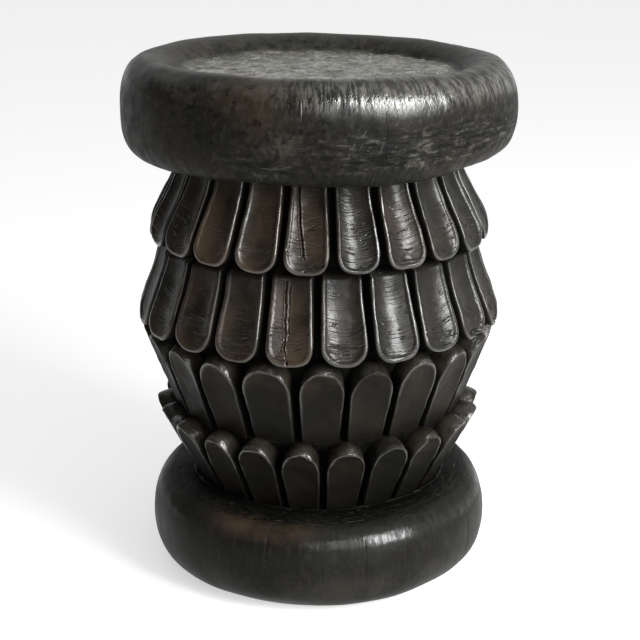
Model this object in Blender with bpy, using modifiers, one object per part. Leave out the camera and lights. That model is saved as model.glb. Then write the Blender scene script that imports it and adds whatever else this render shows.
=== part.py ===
"""Carved round stool: a dished seat and a thick base with four tiers of carved leaves between them.

The axis of the stool is +Z, the floor is z = 0, and the front of the stool faces -Y.
All lengths are metres.
"""

import math

import bmesh
import bpy
from mathutils import Matrix

# Clearances
MEETING_GAP = 0.0003
ROOT_BITE = 0.002

# Grooves between neighbouring leaves, at their backs and at their rims
BACK_GROOVE = 0.0012
HANGING_GROOVE = 0.0045
STANDING_GROOVE = 0.005

# Leaves round each tier, and how far each tier is turned from the front, in degrees
LEAVES_PER_TIER = 22
TIER_1_TURN = -3.5
TIER_2_TURN = -8.7
TIER_3_TURN = 0.9
TIER_4_TURN = -6.3

# Heights, from the floor up
BASE_HEIGHT = 0.083
TIER_4_HEIGHT = 0.0685
TIER_3_HEIGHT = 0.073
TIER_2_HEIGHT = 0.0685
TIER_1_HEIGHT = 0.076
SEAT_THICKNESS = 0.081

# Radii of the wood behind the leaves
NECK_RADIUS = 0.112
BELLY_RADIUS = 0.138
TIER_3_FOOT_RADIUS = 0.114
TIER_4_TOP_RADIUS = 0.127
WAIST_RADIUS = 0.095

# How far the leaf rims stand out from that wood, at the root and at the tip
TIER_1_ROOT_STAND = 0.0078
TIER_1_TIP_STAND = 0.0256
TIER_2_ROOT_STAND = 0.0125
TIER_2_TIP_STAND = 0.0226
TIER_3_ROOT_STAND = 0.0145
TIER_3_TIP_STAND = 0.018
TIER_4_ROOT_STAND = 0.016
TIER_4_TIP_STAND = 0.0195

# The carving on each leaf
HANGING_RIM_WIDTH = 0.0026
HANGING_SCOOP_DEPTH = 0.004
STANDING_RIM_WIDTH = 0.0018
STANDING_SCOOP_DEPTH = 0.002
TIER_1_TIP_REST = 0.005
TIER_2_TIP_REST = 0.002
TIP_UNDERCUT = 0.003
CAP_SETBACK = 0.0008
CAP_FALL = 0.004

# The seat: its flat underside, rolled edge and sunken top
SEAT_LEDGE = 0.0232
SEAT_FOOT_ROLL = 0.024
SEAT_TOP_ROLL = 0.024
DISH_SLOPE_WIDTH = 0.026
DISH_DEPTH = 0.013

# The base: its flat top round the lowest leaves, and its rolled edge
BASE_LEDGE = 0.005
BASE_TOP_ROLL = 0.0345
BASE_FOOT_ROLL = 0.037

# Shape of the rolled edges: 2 is an ellipse, more is squarer
ROLL_SQUARENESS = 2.4
DISH_CURVE = 2.2
CAP_CURVE = 2.5
CAP_CROWN = 0.6
HANGING_ARCH = 1.0
STANDING_ARCH = 1.4
TUCK_START = 0.72
TIP_TUCK = 0.3
ROOT_SCOOP_SHARE = 0.5
SCOOP_RING_SHARE = 0.55

# Facets
TURNING_STEPS = 64
CORE_STEPS = 66
ROLL_FACETS = 12
SLOPE_FACETS = 4
STEM_STEPS = 2
ARC_STEPS = 6
SHARP_ANGLE = 35.0

# Levels where one piece ends and the next begins
TIER_4_LOW = BASE_HEIGHT
TIER_3_LOW = TIER_4_LOW + TIER_4_HEIGHT
TIER_2_LOW = TIER_3_LOW + TIER_3_HEIGHT
TIER_1_LOW = TIER_2_LOW + TIER_2_HEIGHT
SEAT_LOW = TIER_1_LOW + TIER_1_HEIGHT
SEAT_TOP = SEAT_LOW + SEAT_THICKNESS

parts = bpy.data.collections.new("carved_stool")
cutters = bpy.data.collections.new("cutters")


def clear_scene():
    for item in list(bpy.data.objects):
        bpy.data.objects.remove(item, do_unlink=True)
    bpy.context.scene.collection.children.link(parts)
    bpy.context.scene.collection.children.link(cutters)


def wood(name, colour, roughness):
    material = bpy.data.materials.new(name)
    material.use_nodes = True
    shader = material.node_tree.nodes["Principled BSDF"]
    shader.inputs["Base Color"].default_value = (*colour, 1.0)
    shader.inputs["Roughness"].default_value = roughness
    shader.inputs["Metallic"].default_value = 0.0
    return material


def add_object(name, mesh, material, collection=parts):
    item = bpy.data.objects.new(name, mesh)
    collection.objects.link(item)
    if not mesh.materials:
        mesh.materials.append(material)
    return item


def between(start, end, share):
    return start + (end - start) * share


def straight(share):
    return share


def flared(share):
    """Swings out slowly, then fast, then tucks in a little at the tip."""
    swing = share * share * (3.0 - 2.0 * share)
    return swing - TIP_TUCK * max(0.0, (share - TUCK_START) / (1.0 - TUCK_START)) ** 2


def signed_power(value, exponent):
    return math.copysign(abs(value) ** exponent, value)


def rolled_edge(outer_radius, top_roll, foot_roll, low, high):
    """Profile points round the outside of a rolled edge, from its top to its bottom."""
    middle = (low + high) / 2.0
    points = []
    for step in range(ROLL_FACETS + 1):
        angle = math.pi / 2.0 - math.pi * step / ROLL_FACETS
        roll = top_roll if angle > 0.0 else foot_roll
        reach = signed_power(math.cos(angle), 2.0 / ROLL_SQUARENESS)
        rise = signed_power(math.sin(angle), 2.0 / ROLL_SQUARENESS)
        points.append((outer_radius - roll * (1.0 - reach), middle + (high - middle) * rise))
    return points


def turned(name, profile, steps, material):
    """A solid of revolution from a profile that runs down its outer side."""
    mesh = bpy.data.meshes.new(name)
    corners = [(radius, 0.0, height) for radius, height in profile]
    edges = [(index, index + 1) for index in range(len(corners) - 1)]
    mesh.from_pydata(corners, edges, [])
    item = add_object(name, mesh, material)
    screw = item.modifiers.new("turning", 'SCREW')
    screw.axis = 'Z'
    screw.angle = math.tau
    screw.steps = steps
    screw.render_steps = steps
    screw.use_merge_vertices = True
    screw.merge_threshold = 0.00001
    screw.use_smooth_shade = True
    return item


def make_seat(material):
    flat_radius = NECK_RADIUS + TIER_1_ROOT_STAND + SEAT_LEDGE
    outer_radius = flat_radius + SEAT_FOOT_ROLL
    crest_radius = outer_radius - SEAT_TOP_ROLL
    floor_radius = crest_radius - DISH_SLOPE_WIDTH
    floor_height = SEAT_TOP - DISH_DEPTH
    profile = [(0.0, floor_height), (floor_radius, floor_height)]
    for step in range(SLOPE_FACETS - 1, 0, -1):
        share = step / SLOPE_FACETS
        radius = crest_radius - DISH_SLOPE_WIDTH * share
        profile.append((radius, SEAT_TOP - DISH_DEPTH * share ** DISH_CURVE))
    profile += rolled_edge(outer_radius, SEAT_TOP_ROLL, SEAT_FOOT_ROLL, SEAT_LOW, SEAT_TOP)
    profile.append((0.0, SEAT_LOW))
    return turned("seat", profile, TURNING_STEPS, material)


def make_base(material):
    flat_radius = WAIST_RADIUS + TIER_4_ROOT_STAND + BASE_LEDGE
    profile = [(0.0, BASE_HEIGHT)]
    profile += rolled_edge(flat_radius + BASE_TOP_ROLL, BASE_TOP_ROLL, BASE_FOOT_ROLL, 0.0, BASE_HEIGHT)
    profile.append((0.0, 0.0))
    return turned("base", profile, TURNING_STEPS, material)


def core_radius(height):
    """Radius of the tapered wood behind the two hanging tiers."""
    return between(NECK_RADIUS, BELLY_RADIUS, (SEAT_LOW - height) / (SEAT_LOW - TIER_2_LOW))


def make_core(material):
    low = TIER_2_LOW + MEETING_GAP
    high = SEAT_LOW - MEETING_GAP
    profile = [(0.0, high), (core_radius(high), high), (core_radius(low), low), (0.0, low)]
    return turned("core", profile, CORE_STEPS, material)


def half_width(radius, groove):
    """Half of a leaf's width at a radius, so that the next leaf is a groove away."""
    spread = math.pi / LEAVES_PER_TIER - math.asin(groove / 2.0 / radius)
    return radius * math.sin(spread)


def tip_centre(length, span, halves, arch):
    """Where a tongue's arched tip is centred, so that it is as wide there as its taper makes it."""
    return (length - arch * halves[0]) / (1.0 + arch * (halves[1] - halves[0]) / span)


def leaf_outline(length, span, halves, arch, inset, share):
    """A tongue's outline, from one root corner round its tip to the other, as (side, along) points.

    arch is the height of its tip as a share of half its width. inset moves the outline inwards, and share then
    draws it in towards the tongue's middle line.
    """
    centre = tip_centre(length, span, halves, arch)
    tip_width = ((length - centre) / arch - inset) * share
    tip_height = (length - centre - inset) * share
    points = []
    for step in range(STEM_STEPS):
        along = centre * step / STEM_STEPS
        half = (between(*halves, along / span) - inset) * share
        points.append((-half, along))
    for step in range(ARC_STEPS + 1):
        angle = math.pi * step / ARC_STEPS
        points.append((-tip_width * math.cos(angle), centre + tip_height * math.sin(angle)))
    points += [(-side, along) for side, along in reversed(points[:STEM_STEPS])]
    return points


def leaf_spine(length, span, halves, arch):
    """The middle line of a tongue, from its root to the centre of its arched tip."""
    centre = tip_centre(length, span, halves, arch)
    return [(0.0, centre * step / STEM_STEPS) for step in range(STEM_STEPS + 1)]


def fan(shape, ring, spine):
    """Fills the outline ring with faces that run to its middle line."""
    last = len(ring) - 1
    for step in range(STEM_STEPS):
        shape.faces.new((ring[step], ring[step + 1], spine[step + 1], spine[step]))
        shape.faces.new((ring[last - step], ring[last - step - 1], spine[step + 1], spine[step]))
    for step in range(STEM_STEPS, STEM_STEPS + ARC_STEPS):
        shape.faces.new((ring[step], ring[step + 1], spine[STEM_STEPS]))


def make_leaf(name, leaf):
    """A scooped tongue that faces -Y, lofted from its back through its rim to its scooped face."""
    span = abs(leaf["tip"] - leaf["root"])
    rise = math.copysign(1.0, leaf["tip"] - leaf["root"])
    halves = [half_width(radius, BACK_GROOVE) for radius in leaf["backs"]]
    arch = leaf["arch"]
    shape = bmesh.new()

    def back_radius(along):
        return between(*leaf["backs"], along / span)

    def face_radius(along, depth):
        stand = between(*leaf["stands"], leaf["curve"](min(1.0, along / span)))
        return between(*leaf["woods"], along / span) + stand * depth

    def scooped(along, share):
        depth = leaf["scoop"] * between(ROOT_SCOOP_SHARE, 1.0, along / span)
        return face_radius(along, 1.0) - depth * (1.0 - share ** 2)

    def corner(side, along, depth, radius):
        groove = between(BACK_GROOVE, leaf["groove"], depth)
        outer = between(back_radius(along), face_radius(along, 1.0), depth)
        side = side * half_width(outer, groove) / half_width(back_radius(along), BACK_GROOVE)
        return shape.verts.new((side, -math.sqrt(radius ** 2 - side ** 2), leaf["root"] + rise * along))

    lengths = [span - cut for cut in leaf["end_cuts"]]
    rings = []
    outline = leaf_outline(lengths[0], span, halves, arch, 0.0, 1.0)
    rings.append([corner(side, along, 0.0, back_radius(along)) for side, along in outline])
    for depth, length in zip(leaf["depths"][1:], lengths[1:]):
        outline = leaf_outline(length, span, halves, arch, 0.0, 1.0)
        rings.append([corner(side, along, depth, face_radius(along, depth)) for side, along in outline])
    for share in (1.0, SCOOP_RING_SHARE):
        outline = leaf_outline(lengths[-1], span, halves, arch, leaf["rim"], share)
        rings.append([corner(side, along, 1.0, scooped(along, share)) for side, along in outline])
    back_spine = leaf_spine(lengths[0], span, halves, arch)
    back_line = [corner(side, along, 0.0, back_radius(along)) for side, along in back_spine]
    face_spine = leaf_spine(lengths[-1], span, halves, arch)
    face_line = [corner(side, along, 1.0, scooped(along, 0.0)) for side, along in face_spine]
    for inner, outer in zip(rings, rings[1:]):
        for step in range(len(inner) - 1):
            shape.faces.new((inner[step], inner[step + 1], outer[step + 1], outer[step]))
    fan(shape, rings[0], back_line)
    fan(shape, rings[-1], face_line)
    root_left = [ring[0] for ring in rings]
    root_right = [ring[-1] for ring in reversed(rings)]
    shape.faces.new(root_left + [face_line[0]] + root_right + [back_line[0]])
    bmesh.ops.recalc_face_normals(shape, faces=shape.faces)
    mesh = bpy.data.meshes.new(name)
    shape.to_mesh(mesh)
    shape.free()
    mesh.shade_smooth()
    mesh.set_sharp_from_angle(angle=math.radians(SHARP_ANGLE))
    return mesh


def leaf_angle(turn, index):
    return math.radians(turn) + math.tau * index / LEAVES_PER_TIER


def seated_back(wood_radius):
    """Radius of the corners of a leaf's back whose flats clear the wood by MEETING_GAP."""
    clear = wood_radius + MEETING_GAP
    return clear / math.cos(math.pi / LEAVES_PER_TIER / 2.0)


def make_hanging_tier(name, turn, tip, high, stands, material):
    """Separate scooped leaves that hang on the core, each with its tip down."""
    root = high - MEETING_GAP
    woods = (core_radius(root), core_radius(tip))
    leaf = {"root": root, "tip": tip, "woods": woods, "stands": stands,
            "backs": [seated_back(radius) for radius in woods], "curve": flared,
            "rim": HANGING_RIM_WIDTH, "scoop": HANGING_SCOOP_DEPTH,
            "groove": HANGING_GROOVE, "arch": HANGING_ARCH,
            "depths": (0.0, 1.0), "end_cuts": (TIP_UNDERCUT, 0.0)}
    mesh = make_leaf(name, leaf)
    for index in range(LEAVES_PER_TIER):
        item = add_object(f"{name}_{index + 1:02d}", mesh, material)
        item.rotation_euler.z = leaf_angle(turn, index)


def make_standing_tier(name, turn, low, high, woods, stands, material):
    """A drum with its standing leaves carved in one with it, each with its tip up."""
    foot = low + MEETING_GAP
    head = high - MEETING_GAP
    profile = [(0.0, head), (woods[1], head), (woods[0], foot), (0.0, foot)]
    drum = turned(name, profile, CORE_STEPS, material)
    leaf = {"root": foot, "tip": head - CAP_SETBACK, "woods": woods, "stands": stands,
            "backs": [radius - ROOT_BITE for radius in woods], "curve": straight,
            "rim": STANDING_RIM_WIDTH, "scoop": STANDING_SCOOP_DEPTH,
            "groove": STANDING_GROOVE, "arch": STANDING_ARCH,
            "depths": (0.0, CAP_CROWN, 1.0), "end_cuts": (0.0, CAP_FALL * CAP_CROWN ** CAP_CURVE, CAP_FALL)}
    single = make_leaf(f"{name}_leaf", leaf)
    ring = bmesh.new()
    for index in range(LEAVES_PER_TIER):
        start = len(ring.verts)
        ring.from_mesh(single)
        ring.verts.ensure_lookup_table()
        turning = Matrix.Rotation(leaf_angle(turn, index), 4, 'Z')
        bmesh.ops.transform(ring, matrix=turning, verts=ring.verts[start:])
    leaves = bpy.data.meshes.new(f"{name}_leaves")
    ring.to_mesh(leaves)
    ring.free()
    cutter = add_object(f"{name}_leaves", leaves, material, cutters)
    cutter.hide_render = True
    cutter.display_type = 'WIRE'
    union = drum.modifiers.new("leaves", 'BOOLEAN')
    union.operation = 'UNION'
    union.solver = 'EXACT'
    union.object = cutter


def main():
    clear_scene()
    make_seat(wood("seat_wood", (0.018, 0.015, 0.012), 0.40))
    make_base(wood("base_wood", (0.014, 0.012, 0.009), 0.38))
    make_core(wood("core_wood", (0.004, 0.0035, 0.003), 0.75))
    hanging = wood("hanging_leaf_wood", (0.016, 0.013, 0.010), 0.30)
    standing = wood("standing_leaf_wood", (0.010, 0.009, 0.007), 0.45)
    make_hanging_tier("tier_1_leaf", TIER_1_TURN, TIER_1_LOW + TIER_1_TIP_REST, SEAT_LOW,
                      (TIER_1_ROOT_STAND, TIER_1_TIP_STAND), hanging)
    make_hanging_tier("tier_2_leaf", TIER_2_TURN, TIER_2_LOW + TIER_2_TIP_REST, TIER_1_LOW,
                      (TIER_2_ROOT_STAND, TIER_2_TIP_STAND), hanging)
    make_standing_tier("tier_3_leaves", TIER_3_TURN, TIER_3_LOW, TIER_2_LOW,
                       (TIER_3_FOOT_RADIUS, BELLY_RADIUS), (TIER_3_ROOT_STAND, TIER_3_TIP_STAND), standing)
    make_standing_tier("tier_4_leaves", TIER_4_TURN, TIER_4_LOW, TIER_3_LOW,
                       (WAIST_RADIUS, TIER_4_TOP_RADIUS), (TIER_4_ROOT_STAND, TIER_4_TIP_STAND), standing)


main()
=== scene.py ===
"""Looks of the carved round stool: hand-worn ebonised wood on a pale floor, under soft studio light.

Lengths are metres. The axis of the stool is +Z, and its front faces -Y.
"""

import itertools
import math
import random

import bmesh
import bpy
import numpy as np
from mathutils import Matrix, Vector


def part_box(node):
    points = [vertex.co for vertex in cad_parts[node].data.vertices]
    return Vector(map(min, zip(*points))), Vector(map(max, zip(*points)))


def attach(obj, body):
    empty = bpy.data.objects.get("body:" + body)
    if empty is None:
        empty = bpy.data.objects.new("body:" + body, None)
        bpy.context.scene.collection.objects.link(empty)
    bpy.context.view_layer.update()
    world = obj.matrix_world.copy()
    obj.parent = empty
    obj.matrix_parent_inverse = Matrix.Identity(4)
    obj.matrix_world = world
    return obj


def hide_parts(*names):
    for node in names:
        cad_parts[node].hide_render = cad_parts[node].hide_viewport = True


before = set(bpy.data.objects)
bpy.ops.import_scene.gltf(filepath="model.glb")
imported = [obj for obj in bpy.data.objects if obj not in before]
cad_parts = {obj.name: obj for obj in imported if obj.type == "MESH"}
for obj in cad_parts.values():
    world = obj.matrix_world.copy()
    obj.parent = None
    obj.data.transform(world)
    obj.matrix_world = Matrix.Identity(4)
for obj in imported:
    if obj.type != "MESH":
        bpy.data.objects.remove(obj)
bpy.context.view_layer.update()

# Levels and outer radii, from the solids
SEAT_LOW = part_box("seat")[0].z
SEAT_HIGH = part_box("seat")[1].z
SEAT_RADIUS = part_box("seat")[1].x
BASE_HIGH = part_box("base")[1].z
BASE_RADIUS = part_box("base")[1].x
TIER_1_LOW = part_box("tier_2_leaf_01")[1].z
TIER_2_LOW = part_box("tier_3_leaves")[1].z
TIER_3_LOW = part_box("tier_4_leaves")[1].z
TIER_4_LOW = BASE_HIGH

# Radii of the wood behind the leaves
NECK_RADIUS = 0.112
BELLY_RADIUS = 0.138
TIER_3_FOOT_RADIUS = 0.114
TIER_4_TOP_RADIUS = 0.127
WAIST_RADIUS = 0.095

# Leaves round each tier, and how far each tier is turned from the front, in degrees
LEAVES_PER_TIER = 22
TIER_1_TURN = -3.5
TIER_2_TURN = -8.7
TIER_3_TURN = 0.9
TIER_4_TURN = -6.3

# How far the leaves of each tier stand off the wood, at root and tip
TIER_1_STANDS = (0.0078, 0.0256)
TIER_2_STANDS = (0.0125, 0.0226)
TIER_3_STANDS = (0.0145, 0.018)
TIER_4_STANDS = (0.016, 0.0195)

# How far a leaf runs on past its root, and how much of its stand the second tier loses there
TIER_1_LAP = 0.006
TIER_2_LAP = 0.008
TIER_3_LAP = 0.005
TIER_4_LAP = 0.004
TIER_2_LAP_FADE = 0.9

# Tips: rest of hanging tips over the next ring, rise of standing tips over the drum, fall of their cut tops
TIER_1_TIP_REST = 0.005
TIER_2_TIP_REST = 0.002
TIER_3_TIP_RISE = 0.0030
TIER_4_TIP_RISE = 0.0013
TIER_3_CAP_FALL = 0.0062
TIER_4_CAP_FALL = 0.0055

# Painted shade on the faces of the lowest tier
TIER_4_SHADE = 0.55

# Leaf carving
HANGING_GAP = 0.004
STANDING_GAP = 0.005
BACK_GAP = 0.0012
TIP_UNDERCUT = 0.004
UNDERCUT_START = 0.55
CAP_CURVE = 3.0
BLANK_DEPTH = 0.020
FACE_SHARE = 0.15
ROOT_BITE = 0.004
LEAN_PIVOT = 0.3
TIP_TUCK = 0.3
TUCK_START = 0.72
MARK_SAG = 0.006
STEM_ROWS = 6
ARC_SEGMENTS = 6
WELD = 0.00001
SMOOTH_LEVELS = 2
FINE_LEVELS = 3

# Steps of a leaf blank: out from its back, then inwards over its face
WALL_STEPS = (0.009, 0.007, 0.004)
HANGING_RINGS = (0.0005, 0.0006, 0.0007, 0.0008, 0.0009, 0.0011, 0.0015, 0.0023, 0.0030, 0.0030)
STANDING_RINGS = (0.0003, 0.0004, 0.0004, 0.0005, 0.0006, 0.0009, 0.0016, 0.0024, 0.0030, 0.0030)

# Unsteady carving of the leaves: size of the waves or grains with their seed, and their height or share
RIM_WAVES = (0.030, 14)
RIM_WAVE_SHARE = 0.12
RIM_LIMITS = (0.65, 1.5)
FACE_WAVES = (0.019, 11)
FACE_WAVE_HEIGHT = 0.00022
FINE_FACE_WAVES = (0.007, 12)
FINE_FACE_WAVE_HEIGHT = 0.00009
UPRIGHT_WAVES = (0.016, 13)
UPRIGHT_WAVE_HEIGHT = 0.0003
CAP_CUTS = ((0.007, 0.007, 0.005), 15)
CAP_CUT_HEIGHT = 0.0007
CHIPS = ((0.008, 0.02, 0.006), 16)
FINE_CHIPS = ((0.003, 0.02, 0.0026), 17)
FINE_CHIP_SHARE = 0.6

# Regions of a leaf: in crests from the edge, in half widths, in shares of the length or of the depth
HOLLOW_CRESTS = 2.2
WORN_CRESTS = (0.6, 1.4)
RIM_CRESTS = (1.1, 0.9)
WALL_CRESTS = 0.5
CAP_HALVES = (0.1, 0.5)
CAP_DEPTHS = (0.3, 0.8)
CAP_WEAR_WIDTH = 0.0008
CAP_WEAR_HALVES = (0.10, 0.55)
HANGING_TIP_HALVES = (0.2, 0.7)
TORN_HALVES = (-0.5, 0.2)
TORN_SHARES = (0.45, 0.85)
PAINTED_SHADE_DEPTHS = (0.0, 0.2)
PAINTED_SHADE_ROOT_SHARES = (0.0, 0.25)

# Drying splits in leaves: how they bend and curl, fade and narrow, and the lip along them
SPLIT_BEND = 1.6
SPLIT_CURLS = 23.0
FINE_SPLIT_CURLS = 61.0
FINE_CURL_SHARE = 0.6
SPLIT_START_FADE = 0.05
SPLIT_END_FADE = 0.12
SPLIT_TAPER = (1.3, 0.7)
SPLIT_LIP_SHARE = 0.16
SPLIT_LIP_PLACE = 1.8
SPLIT_LIP_SPREAD = 0.6

# Seat and base profiles
SEAT_ROLL = 0.024
SEAT_FACETS = 64
DISH_SLOPE_WIDTH = 0.026
DISH_DEPTH = 0.013
DISH_CURVE = 2.2
DISH_FLOOR_RINGS = 60
DISH_SLOPE_RINGS = 12
SEAT_UNDER_WIDTH = 0.02
SEAT_UNDER_RADIUS = 0.06
BASE_TOP_ROLL = 0.0345
BASE_FOOT_ROLL = 0.037
BASE_FACETS = 84
BASE_TOP_RADII = (0.0, 0.07, 0.09, 0.100, 0.106)
BASE_FOOT_RADII = (0.10, 0.05, 0.0)
LIP_FIRST_RADIUS = 0.1085
LIP_RING_STEP = 0.0006
LIP_RINGS = 12
ROLL_SQUARENESS = 2.4
TURNING_STEPS = 720
DRUM_STEPS = LEAVES_PER_TIER * 10
DRUM_ROWS = 12
DRUM_INNER_SHARE = 0.6

# Parts of the seat, in degrees round it from the front or in height: where a mark fades in and out
COMBED_ANGLES = (-22.0, 6.0, 95.0, 130.0)
GOUGED_ANGLES = (45.0, 80.0, 145.0, 172.0)
HEWN_ANGLE = 75.0
HEWN_FADE = (95.0, 55.0)
TORN_HEIGHTS = (0.378, 0.388, 0.408, 0.420)
TORN_FOOT = (0.370, 0.378)
SCAR_ANGLE = -14.0
SCAR_SPREAD = 11.0
SCAR_TOP = (0.386, 0.402)

# Parts of the seat by radius and by slope, which is the upward share of the normal
SEAT_OUTER_RADII = (0.10, 0.15)
SEAT_EDGE_RADII = (0.125, 0.145)
DISH_SLOPES = (0.35, 0.8)
DISH_EDGE_INSIDE = 0.0030
DISH_EDGE_OUTSIDE = 0.0018
FILM_SLOPES = (0.3, 0.6)
FILM_INSIDE = 0.004
FILM_OUTSIDE = 0.010
SEAT_EDGE_SLOPES = (0.10, 0.45)
SEAT_CREST_SLOPES = (0.65, 0.95)

# Relief of the seat: size of the waves, grains or strokes with their seed, and their height
SEAT_SWELL = (0.16, 1)
SEAT_SWELL_HEIGHT = 0.0010
SEAT_DIMPLES = (0.05, 2)
SEAT_DIMPLE_HEIGHT = 0.00035
HEWN_GRAIN = ((0.011, 0.011, 0.016), 3)
HEWN_GRAIN_HEIGHT = 0.00022
EDGE_COMBING = (0.0034, 0.018, 4)
EDGE_COMBING_HEIGHT = 0.00040
SIDE_COMBING = (0.0042, 0.010, 8)
SIDE_COMBING_HEIGHT = 0.00024
TEARS = (0.013, 0.0040, 5)
TEAR_DEPTH = 0.0012
FRAYED_EDGE = ((0.016, 0.016, 0.02), 10)
FRAYED_WIDTH = 0.0014
DISH_FLAKES = ((0.013, 0.010, 0.02), 6)
FINE_DISH_FLAKES = ((0.006, 0.0045, 0.01), 9)
FINE_FLAKE_SHARE = 0.7
FLAKE_HEIGHT = 0.0003
DISH_SWELL = ((0.035, 0.02, 0.03), 7)
DISH_SWELL_HEIGHT = 0.0006
DISH_FOLDS = ((0.020, 0.030, 0.03), 18)
FINE_DISH_FOLDS = ((0.008, 0.012, 0.02), 20)
FINE_FOLD_SHARE = 0.4
FOLD_WIDTH = 0.15
FOLD_HEIGHT = 0.0009
FOLD_LEVEL = 0.35
GOUGE_BREAKS = ((0.024, 0.024, 0.02), 19)
GOUGE_INSET = 0.0010
GOUGE_WIDTH = 0.0024
GOUGE_DEPTH = 0.0014

# How the seat sags: its top falls to the right and at both sides, and its underside rises at the right
TOP_TILT = -0.0021
TOP_DROOP = 0.0006
UNDERSIDE_RISE = 0.0030

# Heights over which the sag comes in: above the underside, below the top, and of the underside's own rise
SAG_START = 0.02
SAG_END = 0.012
UNDERSIDE_HEIGHT = 0.05

# Relief of the base and of the drums: size of the waves, grains or strokes with their seed, and their height
BASE_SWELL = (0.14, 21)
BASE_SWELL_HEIGHT = 0.0007
BASE_DIMPLES = (0.045, 22)
BASE_DIMPLE_HEIGHT = 0.0003
BASE_GRAIN = ((0.010, 0.010, 0.014), 23)
BASE_GRAIN_HEIGHT = 0.00014
LEDGE_GRAIN = ((0.02, 0.02, 0.02), 24)
LEDGE_GRAIN_HEIGHT = 0.0003
LEDGE_CUTS = (0.016, 0.0024, 25)
LEDGE_CUT_HEIGHT = 0.00035
LIP_CUTS = (0.012, 0.02, 26)
LIP_CUT_HEIGHT = 0.0004
LIP_HEIGHT = 0.0007
LIP_RADIUS = 0.1124
LIP_WIDTH = 0.0011
DRUM_GRAIN = ((0.006, 0.006, 0.02), 31)
DRUM_GRAIN_HEIGHT = 0.0003

# Parts of the base: where it is handled, in degrees round it, slopes, heights and radii
HANDLED_ANGLES = (-50.0, -20.0, 60.0, 105.0)
RIDGE_SLOPES = (0.32, 0.46, 0.52, 0.70)
LEDGE_SLOPES = (0.72, 0.96)
FOOT_HEIGHTS = (0.0005, 0.006)
LIP_HEIGHTS = (0.05, 0.07)
PAINTED_SHADE_LEDGE_RADII = (0.114, 0.128)

# Cracks in the seat and base: waves up their path, degrees round them that are drawn in, and how much closer
CRACK_WAVES = 190.0
CRACK_GATHER = 4.0
CRACK_CROWDING = 0.78
CRACK_RADII = (0.08, 0.10)

# Radius at which strokes on a turned piece have their stated size
STROKE_RADIUS = 0.155


def deselect_all():
    bpy.ops.object.select_all(action='DESELECT')


def begin_shaping(item):
    deselect_all()
    item.select_set(True)
    bpy.context.view_layer.objects.active = item
    bpy.ops.object.mode_set(mode='EDIT')


def end_shaping():
    bpy.ops.object.mode_set(mode='OBJECT')


def pick(item, kind, wanted):
    """Selects the corners or faces that are wanted, and nothing else."""
    bpy.ops.mesh.select_mode(type='VERT' if kind == "verts" else 'FACE')
    bpy.ops.mesh.select_all(action='DESELECT')
    shape = bmesh.from_edit_mesh(item.data)
    for element in getattr(shape, kind):
        if wanted(element):
            element.select_set(True)
    shape.select_flush_mode()
    bmesh.update_edit_mesh(item.data)


def apply_modifier(item, kind, **settings):
    deselect_all()
    item.select_set(True)
    bpy.context.view_layer.objects.active = item
    modifier = item.modifiers.new(kind.lower(), kind)
    for key, value in settings.items():
        setattr(modifier, key, value)
    bpy.ops.object.modifier_apply(modifier=modifier.name)


def between(start, end, share):
    return start + (end - start) * share


def eased(value, low, high):
    """0 below low, 1 above high, and a smooth rise between."""
    share = np.clip((value - low) / (high - low), 0.0, 1.0)
    return share * share * (3.0 - 2.0 * share)


def band(value, rise_start, rise_end, fall_start, fall_end):
    """1 inside a band, 0 outside it, with smooth edges."""
    return eased(value, rise_start, rise_end) * (1.0 - eased(value, fall_start, fall_end))


def corners_of(mesh):
    flat = np.empty(len(mesh.vertices) * 3)
    mesh.vertices.foreach_get("co", flat)
    return flat.reshape(-1, 3)


def normals_of(mesh):
    flat = np.empty(len(mesh.vertices) * 3)
    mesh.vertices.foreach_get("normal", flat)
    return flat.reshape(-1, 3)


def set_corners(mesh, points):
    mesh.vertices.foreach_set("co", points.astype(np.float32).ravel())
    mesh.update()


def axis_distance(points):
    return np.hypot(points[:, 0], points[:, 1])


def paint(mesh, **masks):
    """Keeps a value of each name for each corner, for the wood's material to read."""
    for name, values in masks.items():
        layer = mesh.attributes.new(name, 'FLOAT', 'POINT')
        layer.data.foreach_set("value", values.astype(np.float32))


def waver(points, size, seed):
    """Smooth seeded waves of about one length, mostly between -1 and 1."""
    draws = np.random.default_rng(seed)
    total = np.zeros(len(points))
    count = 7
    for _ in range(count):
        direction = draws.normal(size=3)
        direction /= np.linalg.norm(direction)
        total += np.sin(points @ direction * math.tau / size + draws.uniform(0.0, math.tau))
    return total / math.sqrt(count)


def rough(points, stretch, seed):
    """Seeded smooth noise between -1 and 1 at each point, after the point is divided by stretch."""
    cells = 48
    knots = np.random.default_rng(seed).uniform(-1.0, 1.0, (cells, cells, cells))
    scaled = points / np.array(stretch)
    low = np.floor(scaled).astype(int)
    part = scaled - low
    part = part * part * (3.0 - 2.0 * part)
    total = np.zeros(len(points))
    for corner in itertools.product((0, 1), repeat=3):
        place = (low + np.array(corner)) % cells
        weight = np.prod(np.where(np.array(corner) == 1, part, 1.0 - part), axis=1)
        total += weight * knots[place[:, 0], place[:, 1], place[:, 2]]
    return total


# Leaves

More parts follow.
